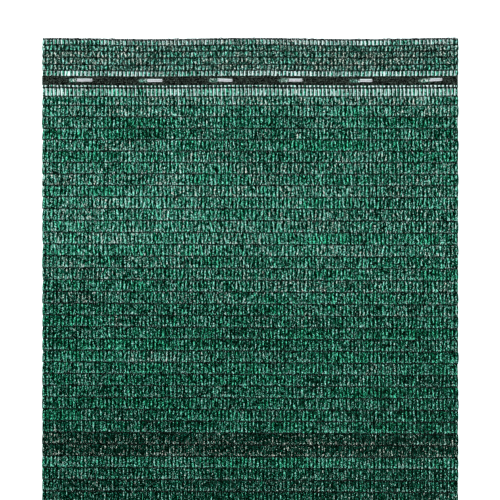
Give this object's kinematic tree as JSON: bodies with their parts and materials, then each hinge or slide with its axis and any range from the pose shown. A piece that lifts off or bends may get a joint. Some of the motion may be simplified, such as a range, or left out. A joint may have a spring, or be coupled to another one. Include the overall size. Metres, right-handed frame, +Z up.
{
  "type": "shade cloth",
  "caption": "Flat cut length of knitted shade netting with a selvedge and a black band of buttonhole slots along its top.",
  "frame": {"origin": "middle of the cloth's bounding box, on the surface that it lies on", "axes": "+X runs along the buttonhole band, +Y points across the cloth to the top selvedge, +Z is up"},
  "size_m": [0.2972, 0.3512, 0.0018],
  "materials": {
    "green_tape": "semi-gloss knitted plastic tape",
    "selvedge_tape": "semi-gloss knitted plastic tape, paler and closer",
    "band_knit": "satin black knitted plastic"
  },
  "bodies": {
    "root": {"selvedge_strip": "selvedge_tape", "buttonhole_band": "band_knit", "net_panel": "green_tape"}
  },
  "joints": []
}
